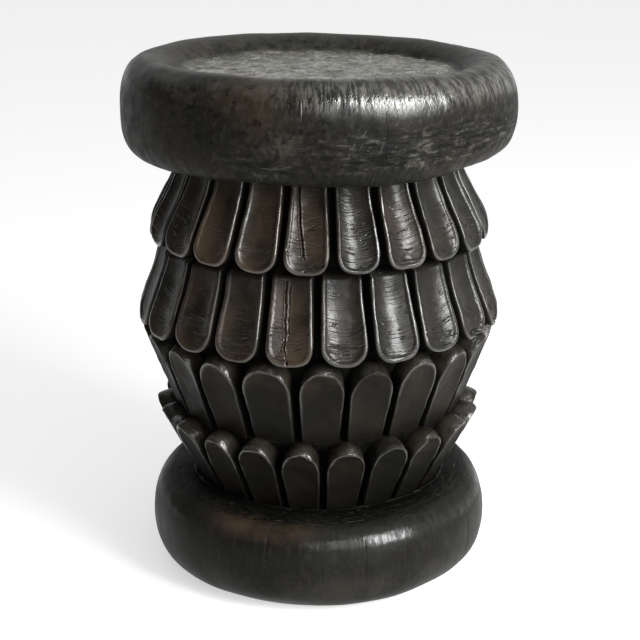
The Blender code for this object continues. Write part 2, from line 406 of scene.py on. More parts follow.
def leaf_blank(name, leaf, levels):
    """A flat tongue: half of it is drawn, rounded at its tip, thickened and ringed, then mirrored.

    Its root is at z = 0 with a lap above, its tip is down, and its face is at y = 0, towards -Y.
    """
    half = leaf["half"]
    length = leaf["length"]
    lap = leaf["lap"]
    deselect_all()
    bpy.ops.mesh.primitive_plane_add(size=1.0, location=(half / 2.0, BLANK_DEPTH, (lap - length) / 2.0),
                                     rotation=(math.pi / 2.0, 0.0, 0.0))
    item = bpy.context.object
    item.name = name
    item.scale = (half, length + lap, 1.0)
    bpy.ops.object.transform_apply(location=True, rotation=True, scale=True)
    begin_shaping(item)
    pick(item, "verts", lambda corner: corner.co.x > half / 2.0 and corner.co.z < -length / 2.0)
    bpy.ops.mesh.bevel(offset_type='OFFSET', offset=half, segments=ARC_SEGMENTS, affect='VERTICES')
    for row in range(STEM_ROWS):
        bpy.ops.mesh.select_all(action='SELECT')
        level = (half - length) * (row + 1) / STEM_ROWS
        bpy.ops.mesh.bisect(plane_co=(0.0, 0.0, level), plane_no=(0.0, 0.0, 1.0))
    bpy.ops.mesh.select_all(action='SELECT')
    bpy.ops.mesh.remove_doubles(threshold=WELD)
    bpy.ops.mesh.select_mode(type='FACE')
    bpy.ops.mesh.select_all(action='SELECT')
    for reach in WALL_STEPS:
        bpy.ops.mesh.extrude_region_move(TRANSFORM_OT_translate={"value": (0.0, -reach, 0.0)})

    def on_cut(face):
        """The wall on the mirror plane and the wall at the end of the lap stay open."""
        centre = face.calc_center_median()
        return centre.x < WELD or centre.z > lap - WELD

    pick(item, "faces", on_cut)
    bpy.ops.mesh.delete(type='FACE')
    pick(item, "faces", lambda face: face.calc_center_median().y < WELD)
    for inset in leaf["rings"]:
        bpy.ops.mesh.inset(thickness=inset, depth=0.0, use_boundary=False)
    end_shaping()
    apply_modifier(item, 'MIRROR', merge_threshold=WELD, use_clip=True)
    apply_modifier(item, 'SUBSURF', levels=levels, render_levels=levels)
    begin_shaping(item)
    bpy.ops.mesh.select_all(action='SELECT')
    bpy.ops.mesh.normals_make_consistent(inside=False)
    bpy.ops.mesh.select_mode(type='EDGE')
    bpy.ops.mesh.select_all(action='DESELECT')
    bpy.ops.mesh.select_non_manifold()
    bpy.ops.mesh.edge_face_add()
    end_shaping()
    bpy.ops.object.shade_smooth()
    return item


def flared(share):
    """Swings out slowly, then fast, then tucks in a little at the tip."""
    swing = share * share * (3.0 - 2.0 * share)
    return swing - TIP_TUCK * np.clip((share - TUCK_START) / (1.0 - TUCK_START), 0.0, 1.0) ** 2


def straight(share):
    return share


def leaf_room(radius, gap):
    """Half of the width that a leaf may take at a radius, when its neighbours are a gap away."""
    return radius * math.sin(math.pi / LEAVES_PER_TIER) - gap / 2.0


def core_radius(height):
    return between(NECK_RADIUS, BELLY_RADIUS, (SEAT_LOW - height) / (SEAT_LOW - TIER_2_LOW))


def hanging_leaf(root, tip, stands, lap, lap_fade):
    woods = (core_radius(root), core_radius(tip))
    return {
        "root": root, "rise": -1.0, "length": root - tip,
        "half": leaf_room(woods[1] + stands[1], HANGING_GAP), "woods": woods, "stands": stands,
        "curve": flared, "lap": lap, "lap_fade": lap_fade,
        "rings": HANGING_RINGS, "grooves": (0.0064, 0.0042), "crest": 0.0019, "roll": 0.0030, "brow": 0.22,
        "hollow": 0.0062, "root_hollow": 0.62, "square": 2.5, "arch": 1.0, "cap_fall": 0.0,
        "marks": 1.0, "shade": 0.0, "looseness": 1.3,
    }


def standing_leaf(root, tip, woods, stands, lap, cap_fall, shade):
    return {
        "root": root, "rise": 1.0, "length": tip - root,
        "half": leaf_room(woods[1] + stands[1], STANDING_GAP), "woods": woods, "stands": stands,
        "curve": straight, "lap": lap, "lap_fade": 0.0,
        "rings": STANDING_RINGS, "grooves": (0.0060, 0.0046), "crest": 0.0011, "roll": 0.0016, "brow": 0.12,
        "hollow": 0.0030, "root_hollow": 0.7, "square": 2.0, "arch": 1.4, "cap_fall": cap_fall,
        "marks": 0.0, "shade": shade, "looseness": 1.7,
    }


def stands_up(leaf):
    return leaf["rise"] > 0.0


def halves(leaf, counts):
    """Lengths given in half widths of a leaf."""
    return [count * leaf["half"] for count in counts]


def face_dip(margin, crest, leaf, deepness):
    """How far a leaf's face lies below its crest: a rounded rim, then a hollow."""
    outer = np.clip((crest - margin) / crest, 0.0, 1.0)
    roll = leaf["roll"] * (1.0 - np.sqrt(1.0 - outer ** 2))
    inner = np.clip((margin - crest) / (leaf["half"] - crest), 0.0, 1.0)
    inner = inner * eased(inner, 0.0, leaf["brow"])
    return roll + deepness * (1.0 - (1.0 - inner) ** 2)


def split_depth(splits, side, share):
    """How deep the drying splits of a leaf go at each corner."""
    total = np.zeros(len(side))
    for cut in splits:
        curls = np.sin(share * SPLIT_CURLS) + FINE_CURL_SHARE * np.sin(share * FINE_SPLIT_CURLS + 1.0)
        path = cut["side"] + cut["lean"] * share ** SPLIT_BEND
        path = path + cut["curl"] * curls
        start = cut["start"]
        end = cut["end"]
        ends = band(share, start, start + SPLIT_START_FADE, end - SPLIT_END_FADE, end)
        away = np.abs(side - path) / (cut["width"] * between(*SPLIT_TAPER, share))
        lip = SPLIT_LIP_SHARE * np.exp(-((away - SPLIT_LIP_PLACE) / SPLIT_LIP_SPREAD) ** 2)
        total += cut["depth"] * (np.clip(1.0 - away, 0.0, 1.0) - lip) * ends
    return total


def dent_depth(dents, side, share, length):
    """How deep the knocks in a leaf go at each corner."""
    total = np.zeros(len(side))
    for knock in dents:
        off_side = (side - knock["side"]) / knock["wide"]
        off_along = (share - knock["share"]) * length / knock["tall"]
        total += knock["depth"] * (1.0 - eased(np.hypot(off_side, off_along), 0.25, 1.0))
    return total


class LeafPlaces:
    """Where each corner of a leaf blank lies: across, along and behind it, and how far in from its edge."""

    def __init__(self, points, leaf, habit):
        half = leaf["half"]
        length = leaf["length"]
        self.points = points
        self.side, depth, height = points.T
        self.along = -height
        self.past = np.maximum(self.along - (length - half), 0.0)
        self.margin = np.maximum(half - np.hypot(self.side, self.past), 0.0)
        self.share = np.clip(self.along / length, 0.0, 1.0)
        self.back = np.clip(depth / BLANK_DEPTH, 0.0, 1.0)
        self.front = 1.0 - eased(self.back, 0.0, FACE_SHARE)
        uneven = 1.0 + RIM_WAVE_SHARE * waver(points + habit["own"], *RIM_WAVES)
        self.crest = leaf["crest"] * np.clip(uneven, *RIM_LIMITS)
        self.in_hollow = eased(self.margin, self.crest, self.crest * HOLLOW_CRESTS) * self.front
        on_top = eased(self.past, *halves(leaf, CAP_HALVES)) * (1.0 - eased(self.back, *CAP_DEPTHS))
        self.on_cap = on_top * stands_up(leaf)
        chips = rough(points + habit["own"], *CHIPS) + FINE_CHIP_SHARE * rough(points, *FINE_CHIPS)
        near_tip = eased(self.share, *TORN_SHARES)
        to_one_side = eased(self.side, *halves(leaf, TORN_HALVES))
        self.chipping = eased(chips, -0.2, 0.7) * near_tip * to_one_side * self.front


def leaf_dip(at, leaf, habit):
    """How far the face lies below its crest, with its hollow, splits, knocks and torn tip."""
    deepness = leaf["hollow"] * between(leaf["root_hollow"], 1.0, at.share) * habit["scoop"]
    dip = face_dip(at.margin, at.crest, leaf, deepness)
    dip = dip + split_depth(habit["splits"], at.side, at.share) * at.in_hollow
    dip = dip + dent_depth(habit["dents"], at.side, at.share, leaf["length"]) * at.front
    return dip + habit["torn"] * at.chipping


def leaf_outline(at, leaf, habit):
    """How far along and across each corner goes, once the tip is squared or arched and its end is cut."""
    half = leaf["half"]
    length = leaf["length"]
    turn = np.arctan2(np.abs(at.side), at.past)
    square = leaf["square"] * habit["square"]
    bulge = (np.cos(turn) ** square + np.sin(turn) ** square) ** (-1.0 / square)
    along = at.along + at.past * (bulge - 1.0)
    across = at.side * np.where(at.past > 0.0, bulge, 1.0)
    stem = length - half
    stretch = 1.0 + (leaf["arch"] - 1.0) * habit["arch"]
    arched_stem = length - half * stretch
    on_stem = along * np.where(along > 0.0, arched_stem / stem, 1.0)
    along = np.where(along > stem, arched_stem + (along - stem) * stretch, on_stem)
    if stands_up(leaf):
        along = along * (1.0 - leaf["cap_fall"] * (1.0 - at.back) ** CAP_CURVE / length)
    else:
        along = along - TIP_UNDERCUT * at.back * eased(at.share, UNDERCUT_START, 1.0)
    return np.where(along > 0.0, along * habit["reach"], along), across


def leaf_on_stool(at, leaf, habit, angle):
    """Bends a blank round the stool, in its own place in the ring."""
    along, across = leaf_outline(at, leaf, habit)
    wood = between(*leaf["woods"], along / leaf["length"])
    stand = between(*leaf["stands"], leaf["curve"](at.share)) + habit["stand"] * at.share
    stand = stand + habit["twist"] * at.side / leaf["half"] * at.share
    if leaf["lap_fade"] > 0.0:
        stand = stand * (1.0 - leaf["lap_fade"] * eased(-along, 0.0, leaf["lap"]))
    groove = between(between(*leaf["grooves"], at.share), BACK_GAP, at.back)
    room = leaf_room(between(wood + stand, wood, at.back), groove)
    spread = across / leaf["half"] * room * habit["breadth"]
    spread = spread + habit["sway"] * at.share ** 2 + habit["lean"] * (at.share - LEAN_PIVOT)
    spread = spread * -leaf["rise"]
    radius = between(wood + stand - leaf_dip(at, leaf, habit), wood - ROOT_BITE, at.back)
    depth = -np.sqrt(radius ** 2 - spread ** 2)
    turned_side = spread * math.cos(angle) - depth * math.sin(angle)
    turned_depth = spread * math.sin(angle) + depth * math.cos(angle)
    return np.stack([turned_side, turned_depth, leaf["root"] + leaf["rise"] * along], axis=1)


def loosen_leaf(points, at):
    """Moves the corners as an unsteady hand would: low waves, and rough cuts on the top of a standing one."""
    outward = points * np.array([1.0, 1.0, 0.0]) / np.maximum(axis_distance(points), 0.01)[:, None]
    waves = FACE_WAVE_HEIGHT * waver(points, *FACE_WAVES)
    waves = waves + FINE_FACE_WAVE_HEIGHT * waver(points, *FINE_FACE_WAVES)
    points += outward * (waves * (1.0 - at.back) * (1.0 - 0.7 * at.in_hollow))[:, None]
    points[:, 2] += UPRIGHT_WAVE_HEIGHT * waver(points, *UPRIGHT_WAVES) * (1.0 - at.back)
    points[:, 2] += CAP_CUT_HEIGHT * rough(points, *CAP_CUTS) * at.on_cap


def paint_leaf(mesh, at, leaf, habit):
    """Keeps where a leaf is rubbed, worn, rough, brown, darkened by painted shade and wrinkled, for its wood.
    """
    from_crest = (at.margin - at.crest) / (at.crest * np.where(at.margin < at.crest, *RIM_CRESTS))
    rim = np.exp(-from_crest ** 2) * at.front
    cap = np.exp(-(at.margin / CAP_WEAR_WIDTH) ** 2) * eased(at.past, *halves(leaf, CAP_WEAR_HALVES))
    cap = cap * stands_up(leaf)
    if stands_up(leaf):
        rim = rim * between(0.2, 1.0, eased(at.share, 0.2, 0.8))
    worn_low, worn_high = WORN_CRESTS
    worn_face = eased(at.margin, at.crest * worn_low, at.crest * worn_high) * at.front * leaf["marks"]
    worn_face = worn_face * between(0.45, 1.0, eased(at.share, 0.05, 0.45))
    # Painted shade: the colour goes near black behind the face, towards the roots, under the hanging tips and
    # on the lowest tier's faces
    behind = eased(at.back, *PAINTED_SHADE_DEPTHS) * (1.0 - 0.9 * cap)
    at_root = 0.5 * (1.0 - eased(at.share, *PAINTED_SHADE_ROOT_SHARES))
    hanging_tip = eased(at.past, *halves(leaf, HANGING_TIP_HALVES)) * (not stands_up(leaf))
    off_face = 1.0 - eased(at.margin, 0.0, WALL_CRESTS * at.crest)
    wall = between(0.8, 0.95, hanging_tip) * off_face * (1.0 - cap)
    soot = np.maximum(np.maximum(behind, at_root), wall)
    wrinkled = leaf["marks"] * habit["marks"] * at.in_hollow
    paint(mesh,
          rub=np.maximum(rim, cap),
          face=worn_face * (1.0 - at.chipping * (habit["torn"] > 0.0)),
          hacked=at.on_cap,
          brown=habit["brown"] * between(0.5, 1.1, at.share) + 1.5 * habit["cap_brown"] * at.on_cap,
          soot=np.maximum(soot, leaf["shade"] * (1.0 - rim) * (1.0 - cap)),
          arc=at.along + MARK_SAG * (at.side / leaf["half"]) ** 2,
          across=at.side,
          own=np.full(len(at.points), habit["own"]),
          marks=wrinkled * between(0.25, 1.0, eased(at.share, 0.35, 0.75)))


def carve_leaf(item, leaf, angle, habit):
    """Sets a flat tongue in its place on the stool, with its own small irregularities."""
    at = LeafPlaces(corners_of(item.data), leaf, habit)
    points = leaf_on_stool(at, leaf, habit, angle)
    loosen_leaf(points, at)
    set_corners(item.data, points)
    paint_leaf(item.data, at, leaf, habit)


def copy_of(blank, name):
    item = blank.copy()
    item.data = blank.data.copy()
    item.name = name
    bpy.context.scene.collection.objects.link(item)
    return item


def finish_piece(item, material, slot, *nodes):
    item.data.materials.clear()
    item.data.materials.append(material)
    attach(item, "root")
    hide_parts(*nodes)


def drying_split(side, lean, curl, width, depth, start, end):
    return {"side": side, "lean": lean, "curl": curl, "width": width, "depth": depth,
            "start": start, "end": end}


def dent(side, share, wide, tall, depth):
    return {"side": side, "share": share, "wide": wide, "tall": tall, "depth": depth}


# How leaves differ: the least and the most of each habit, in the order in which they are drawn
LEAF_HABITS = {
    "breadth": (0.975, 1.0), "sway": (-0.0007, 0.0007), "lean": (-0.0006, 0.0006), "reach": (0.988, 1.010),
    "stand": (-0.0008, 0.0008), "twist": (-0.0007, 0.0007), "scoop": (0.9, 1.12), "brown": (0.0, 0.10),
    "own": (0.0, 50.0), "square": (0.95, 1.05), "arch": (0.6, 1.5), "cap_brown": (0.0, 0.2),
    "marks": (0.30, 0.75),
}

# Leaves that are browner than the rest, by tier and number
BROWN_LEAVES = {
    ("tier_1", 1): 0.50, ("tier_1", 3): 0.30, ("tier_1", 19): 0.25, ("tier_1", 20): 0.35,
    ("tier_1", 21): 0.90, ("tier_1", 22): 0.90, ("tier_2", 1): 0.70, ("tier_2", 2): 0.15,
    ("tier_2", 19): 0.30, ("tier_2", 20): 0.40, ("tier_2", 21): 0.45, ("tier_2", 22): 0.55,
}

# Leaves with the strongest wrinkles across their hollows
WRINKLED_LEAVES = {
    ("tier_1", 1), ("tier_1", 2), ("tier_1", 3), ("tier_2", 1), ("tier_2", 2), ("tier_2", 3), ("tier_2", 4),
}

# Leaves that the carver set unevenly: degrees from their even place, and a share of the usual breadth
UNEVEN_LEAVES = {
    ("tier_3", 15): (-0.5, 0.97), ("tier_3", 16): (-1.1, 0.97), ("tier_3", 17): (-1.6, 0.97),
    ("tier_3", 18): (-2.1, 0.97), ("tier_3", 19): (-2.6, 0.97), ("tier_3", 20): (-3.0, 0.98),
    ("tier_3", 21): (-2.4, 0.98), ("tier_3", 22): (-1.15, 1.13),
}

# Leaves with a torn tip, and how deep the tears go
TORN_LEAVES = {("tier_2", 5): 0.0034, ("tier_2", 6): 0.0014}

# Drying splits: place across the leaf, slant, curl, width, depth, and where along the leaf they start and end
SPLIT_LEAVES = {
    ("tier_1", 1): [drying_split(-0.0105, 0.0122, 0.00018, 0.0008, 0.0036, 0.02, 0.85)],
    ("tier_2", 1): [drying_split(-0.0060, 0.0034, 0.00034, 0.0007, 0.0030, 0.02, 0.92),
                    drying_split(-0.0022, 0.0016, 0.00030, 0.0006, 0.0024, 0.06, 0.74)],
}

# Knocks: place across and along the leaf, half width, half height and depth
DENTED_LEAVES = {
    ("tier_1", 3): [dent(0.002, 0.86, 0.0080, 0.0045, 0.0010)],
    ("tier_2", 1): [dent(-0.0062, 0.66, 0.0010, 0.0010, 0.0014), dent(-0.0056, 0.74, 0.0008, 0.0011, 0.0012),
                    dent(-0.0070, 0.80, 0.0008, 0.0008, 0.0010), dent(-0.0016, 0.94, 0.0012, 0.0024, 0.0036)],
    ("tier_2", 3): [dent(0.000, 0.64, 0.0008, 0.0009, 0.0012)],
    ("tier_2", 5): [dent(0.004, 0.93, 0.0060, 0.0050, 0.0022), dent(-0.006, 0.90, 0.0040, 0.0030, 0.0016)],
    ("tier_3", 22): [dent(0.006, 0.99, 0.0030, 0.0030, 0.0014)],
    ("tier_4", 1): [dent(-0.008, 0.97, 0.0030, 0.0030, 0.0014)],
    ("tier_4", 4): [dent(0.002, 0.99, 0.0050, 0.0050, 0.0034), dent(-0.005, 0.95, 0.0030, 0.0030, 0.0016)],
}


def leaf_habit(draws, tier, number, looseness):
    """What sets one leaf apart: drawn by chance, and then what the photographed leaves show."""
    habit = {name: draws.uniform(*limits) for name, limits in LEAF_HABITS.items()}
    which = (tier, number)
    habit["brown"] = BROWN_LEAVES.get(which, habit["brown"])
    habit["torn"] = TORN_LEAVES.get(which, 0.0)
    habit["splits"] = SPLIT_LEAVES.get(which, [])
    habit["dents"] = DENTED_LEAVES.get(which, [])
    if which in WRINKLED_LEAVES:
        habit["marks"] = 1.0
    habit["sway"] *= looseness
    habit["lean"] *= looseness
    habit["nudge"], breadth = UNEVEN_LEAVES.get(which, (0.0, 1.0))
    habit["breadth"] *= breadth
    return habit


def make_leaf_ring(tier, leaf, turn, material, slot, node_of):
    draws = random.Random(tier)
    blank = leaf_blank(f"{tier}_blank", leaf, SMOOTH_LEVELS)
    fine_blank = leaf_blank(f"{tier}_fine_blank", leaf, FINE_LEVELS)
    for index in range(LEAVES_PER_TIER):
        number = index + 1
        habit = leaf_habit(draws, tier, number, leaf["looseness"])
        source = fine_blank if habit["splits"] or habit["torn"] else blank
        item = copy_of(source, f"{tier}_carved_leaf_{number:02d}")
        angle = math.radians(turn + habit["nudge"]) + math.tau * index / LEAVES_PER_TIER
        carve_leaf(item, leaf, angle, habit)
        finish_piece(item, material, slot, node_of(number))
    bpy.data.objects.remove(blank)
    bpy.data.objects.remove(fine_blank)


# Turned pieces

def turned_blank(name, profile, steps):
    """Draws a profile corner by corner, then turns it round the axis of the stool."""
    deselect_all()
    bpy.ops.mesh.primitive_plane_add(size=0.01, location=(0.0, 0.0, 0.0))
    item = bpy.context.object
    item.name = name
    begin_shaping(item)
    bpy.ops.mesh.select_mode(type='VERT')
    bpy.ops.mesh.select_all(action='SELECT')
    bpy.ops.mesh.merge(type='CENTER')
    here = Vector((0.0, 0.0, 0.0))
    for index, (radius, height) in enumerate(profile):
        there = Vector((radius, 0.0, height))
        if index == 0:
            bpy.ops.transform.translate(value=there - here)
        else:
            bpy.ops.mesh.extrude_vertices_move(TRANSFORM_OT_translate={"value": there - here})
        here = there
    end_shaping()
    apply_modifier(item, 'SCREW', axis='Z', angle=math.tau, steps=steps, render_steps=steps)
    begin_shaping(item)
    bpy.ops.mesh.select_all(action='SELECT')
    bpy.ops.mesh.remove_doubles(threshold=WELD)
    bpy.ops.mesh.select_all(action='SELECT')
    bpy.ops.mesh.normals_make_consistent(inside=False)
    end_shaping()
    bpy.ops.object.shade_smooth()
    return item


def rolled_edge(outer_radius, top_roll, foot_roll, low, high, facets):
    middle = (low + high) / 2.0
    points = []
    for step in range(facets + 1):
        angle = math.pi / 2.0 - math.pi * step / facets
        roll = top_roll if angle > 0.0 else foot_roll
        reach = abs(math.cos(angle)) ** (2.0 / ROLL_SQUARENESS)
        rise = math.copysign(abs(math.sin(angle)) ** (2.0 / ROLL_SQUARENESS), angle)
        points.append((outer_radius - roll * (1.0 - reach), middle + (high - middle) * rise))
    return points


def ring_angle(points):
    """Degrees round the stool from its front, positive to the right."""
    return np.degrees(np.arctan2(points[:, 0], -points[:, 1]))


def half_turn(degrees):
    """The same angle, between -180 and 180 degrees."""
    return (degrees + 180.0) % 360.0 - 180.0


def crack_path(crack, points):
    """How far a crack wanders from its angle at the height of each corner, in degrees."""
    return crack["wander"] * np.sin(points[:, 2] * CRACK_WAVES + crack["angle"])


def gather_at_cracks(points, cracks):
    """Slides the rows of corners round the axis, so that they lie closer where a crack is to be cut."""
    angle = ring_angle(points)
    radius = axis_distance(points)
    moved = angle.copy()
    for crack in cracks:
        away = half_turn(angle - crack["angle"])
        near = np.exp(-(away / CRACK_GATHER) ** 2)
        moved += near * (-CRACK_CROWDING * away + crack_path(crack, points))
    turned = np.radians(moved)
    return np.stack([radius * np.sin(turned), -radius * np.cos(turned), points[:, 2]], axis=1)


def crack_depth(points, cracks):
    """How deep the cracks go at each corner."""
    angle = ring_angle(points)
    radius = axis_distance(points)
    depth = np.zeros(len(points))
    for crack in cracks:
        away = half_turn(angle - crack["angle"] - crack_path(crack, points))
        across = np.radians(np.abs(away)) * radius
        wedge = np.clip(1.0 - across / crack["width"], 0.0, 1.0)
        low = crack["low"]
        high = crack["high"]
        ends = band(points[:, 2], low, low + crack["fade"], high - crack["fade"], high)
        depth += crack["depth"] * wedge * ends * eased(radius, *CRACK_RADII)
    return depth


def drying_crack(angle, low, high, width=0.00035, depth=0.0009, wander=0.06, fade=0.005):
    return {"angle": angle, "low": low, "high": high, "width": width, "depth": depth,
            "wander": wander, "fade": fade}


# Cracks: degrees round from the front, and the heights between which they run
SEAT_CRACKS = [
    drying_crack(-4.2, 0.420, 0.438), drying_crack(17.6, 0.386, 0.432, depth=0.0005, wander=0.14),
    drying_crack(-19.0, 0.374, 0.390), drying_crack(74.0, 0.380, 0.440), drying_crack(131.0, 0.376, 0.446),
    drying_crack(203.0, 0.384, 0.430), drying_crack(264.0, 0.378, 0.430), drying_crack(305.0, 0.372, 0.400),
]
BASE_CRACKS = [
    drying_crack(-29.0, 0.016, 0.046), drying_crack(-12.4, 0.013, 0.034, depth=0.0006),
    drying_crack(-17.0, 0.052, 0.074), drying_crack(1.2, 0.034, 0.050), drying_crack(15.5, 0.030, 0.070),
    drying_crack(61.0, 0.012, 0.060), drying_crack(118.0, 0.004, 0.070), drying_crack(171.0, 0.020, 0.064),
    drying_crack(236.0, 0.006, 0.050),
]


def strokes(points, around, along, seed):
    """Seeded marks on a turned piece: around is their size round the axis, along their size down it."""
    angle = np.radians(ring_angle(points))
    path = axis_distance(points) - points[:, 2]
    reach = STROKE_RADIUS
    wound = np.stack([np.sin(angle) * reach / around, np.cos(angle) * reach / around, path / along], axis=1)
    return rough(wound, (1.0, 1.0, 1.0), seed)


def cracked_blank(name, profile, cracks):
    """A turned blank with its corners gathered at the cracks to come, and the places of those corners."""
    item = turned_blank(name, profile, TURNING_STEPS)
    points = gather_at_cracks(corners_of(item.data), cracks)
    set_corners(item.data, points)
    return item, points


def seat_profile():
    crest = SEAT_RADIUS - SEAT_ROLL
    floor_radius = crest - DISH_SLOPE_WIDTH
    floor_height = SEAT_HIGH - DISH_DEPTH
    profile = [(floor_radius * ring / DISH_FLOOR_RINGS, floor_height) for ring in range(DISH_FLOOR_RINGS + 1)]
    for ring in range(DISH_SLOPE_RINGS - 1, 0, -1):
        share = ring / DISH_SLOPE_RINGS
        profile.append((crest - DISH_SLOPE_WIDTH * share, SEAT_HIGH - DISH_DEPTH * share ** DISH_CURVE))
    profile += rolled_edge(SEAT_RADIUS, SEAT_ROLL, SEAT_ROLL, SEAT_LOW, SEAT_HIGH, SEAT_FACETS)
    profile += [(SEAT_RADIUS - SEAT_ROLL - SEAT_UNDER_WIDTH, SEAT_LOW), (SEAT_UNDER_RADIUS, SEAT_LOW),
                (0.0, SEAT_LOW)]
    return profile


class SeatPlaces:
    """What each corner of the seat belongs to: dish, wall, gouge, rubbed edge, hewn side or torn band."""

    def __init__(self, points, normals):
        crest = SEAT_RADIUS - SEAT_ROLL
        floor_radius = crest - DISH_SLOPE_WIDTH
        height = points[:, 2]
        upward = normals[:, 2]
        radius = axis_distance(points)
        angle = ring_angle(points)
        self.radius = radius
        self.outer = eased(radius, *SEAT_OUTER_RADII)
        top = eased(upward, *DISH_SLOPES)
        frayed = radius + FRAYED_WIDTH * rough(points, *FRAYED_EDGE)
        off_floor = eased(frayed, floor_radius - DISH_EDGE_INSIDE, floor_radius + DISH_EDGE_OUTSIDE)
        self.dished = (1.0 - off_floor) * top
        wall = (1.0 - eased(radius, crest - FILM_INSIDE, crest + FILM_OUTSIDE)) * eased(upward, *FILM_SLOPES)
        self.film = wall * (1.0 - self.dished)
        gouge = np.exp(-((radius - floor_radius + GOUGE_INSET) / GOUGE_WIDTH) ** 2) * top
        self.gouged = gouge * band(angle, *GOUGED_ANGLES) * eased(rough(points, *GOUGE_BREAKS), -0.6, 0.2)
        edge = eased(upward, *SEAT_EDGE_SLOPES) * (1.0 - self.dished)
        self.edge = edge * eased(radius, *SEAT_EDGE_RADII)
        self.rub = self.edge * (1.0 - 0.6 * eased(upward, *SEAT_CREST_SLOPES))
        self.hewn = eased(np.abs(half_turn(angle - HEWN_ANGLE)), *HEWN_FADE)
        self.combing = between(0.12, 1.0, band(angle, *COMBED_ANGLES))
        scarred = np.exp(-((angle - SCAR_ANGLE) / SCAR_SPREAD) ** 2) * (1.0 - eased(height, *SCAR_TOP))
        torn = np.maximum(self.hewn * band(height, *TORN_HEIGHTS), scarred)
        self.torn = torn * eased(height, *TORN_FOOT)
        self.flaking = rough(points, *DISH_FLAKES) + FINE_FLAKE_SHARE * rough(points, *FINE_DISH_FLAKES)
        self.flakes = eased(self.flaking, -0.30, 0.30)
        folds = rough(points, *DISH_FOLDS) + FINE_FOLD_SHARE * rough(points, *FINE_DISH_FOLDS)
        self.ridges = np.exp(-(folds / FOLD_WIDTH) ** 2)


def seat_relief(points, at):
    """How far each corner of the seat is raised or cut, along its normal."""
    push = SEAT_SWELL_HEIGHT * waver(points, *SEAT_SWELL) * at.outer
    push += SEAT_DIMPLE_HEIGHT * waver(points, *SEAT_DIMPLES)
    push += HEWN_GRAIN_HEIGHT * at.outer * between(0.5, 1.0, at.hewn) * rough(points, *HEWN_GRAIN)
    push += EDGE_COMBING_HEIGHT * at.edge * at.combing * strokes(points, *EDGE_COMBING)
    push -= TEAR_DEPTH * at.torn * np.clip(strokes(points, *TEARS) - 0.05, 0.0, 1.0)
    push += SIDE_COMBING_HEIGHT * at.outer * at.hewn * (1.0 - at.edge) * strokes(points, *SIDE_COMBING)
    dish = FLAKE_HEIGHT * (at.flakes - 0.5) + FLAKE_HEIGHT * at.flaking
    push += at.dished * (dish + DISH_SWELL_HEIGHT * rough(points, *DISH_SWELL))
    push += FOLD_HEIGHT * at.dished * (at.ridges - FOLD_LEVEL)
    push -= GOUGE_DEPTH * at.gouged
    return push - crack_depth(points, SEAT_CRACKS)


def seat_sag(points, outer):
    """How far the top of the seat sinks at each corner, and how far its underside rises."""
    across = points[:, 0] / SEAT_RADIUS
    upper = eased(points[:, 2], SEAT_LOW + SAG_START, SEAT_HIGH - SAG_END)
    lower = 1.0 - eased(points[:, 2], SEAT_LOW, SEAT_LOW + UNDERSIDE_HEIGHT)
    top = upper * outer * (TOP_TILT * across - TOP_DROOP * np.abs(across))
    return top, lower * outer * UNDERSIDE_RISE * eased(across, 0.1, 0.95)


def make_seat(material):
    item, blank = cracked_blank("carved_seat", seat_profile(), SEAT_CRACKS)
    mesh = item.data
    normals = normals_of(mesh)
    at = SeatPlaces(blank, normals)
    points = blank + normals * seat_relief(blank, at)[:, None]
    for sag in seat_sag(blank, at.outer):
        points[:, 2] += sag
    set_corners(mesh, points)
    paint(mesh, path=at.radius - points[:, 2], dished=at.dished, rub=at.rub, hewn=at.hewn * at.outer,
          torn=at.torn * at.outer, combing=at.combing, flakes=at.flakes, ridges=at.ridges, film=at.film,
          gouged=at.gouged)
    finish_piece(item, material, "seat_wood", "seat")


def base_profile():
    profile = [(radius, BASE_HIGH) for radius in BASE_TOP_RADII]
    profile += [(LIP_FIRST_RADIUS + LIP_RING_STEP * ring, BASE_HIGH) for ring in range(LIP_RINGS)]
    profile += rolled_edge(BASE_RADIUS, BASE_TOP_ROLL, BASE_FOOT_ROLL, 0.0, BASE_HIGH, BASE_FACETS)
    return profile + [(radius, 0.0) for radius in BASE_FOOT_RADII]


def make_base(material):
    item, blank = cracked_blank("carved_base", base_profile(), BASE_CRACKS)
    mesh = item.data
    normals = normals_of(mesh)
    upward = normals[:, 2]
    radius = axis_distance(blank)
    clear = eased(blank[:, 2], *FOOT_HEIGHTS)
    ledge = eased(upward, *LEDGE_SLOPES) * clear
    lip = np.exp(-((radius - LIP_RADIUS) / LIP_WIDTH) ** 2) * clear * eased(blank[:, 2], *LIP_HEIGHTS)
    swell = BASE_SWELL_HEIGHT * waver(blank, *BASE_SWELL) + BASE_DIMPLE_HEIGHT * waver(blank, *BASE_DIMPLES)
    push = swell * clear
    push += BASE_GRAIN_HEIGHT * clear * rough(blank, *BASE_GRAIN)
    cuts = LEDGE_GRAIN_HEIGHT * rough(blank, *LEDGE_GRAIN) + LEDGE_CUT_HEIGHT * strokes(blank, *LEDGE_CUTS)
    push += ledge * cuts
    push += lip * (LIP_HEIGHT + LIP_CUT_HEIGHT * strokes(blank, *LIP_CUTS))
    push -= crack_depth(blank, BASE_CRACKS)
    points = blank + normals * push[:, None]
    set_corners(mesh, points)
    handled = between(0.35, 1.0, band(ring_angle(points), *HANDLED_ANGLES))
    # Painted shade: the ledge is marked darkest where it meets the leaves
    paint(mesh,
          path=radius - points[:, 2],
          ledge=ledge,
          soot=ledge * (1.0 - eased(radius, *PAINTED_SHADE_LEDGE_RADII)) * (1.0 - lip),
          rub=np.maximum(band(upward, *RIDGE_SLOPES) * handled, 0.7 * lip))
    finish_piece(item, material, "base_wood", "base")


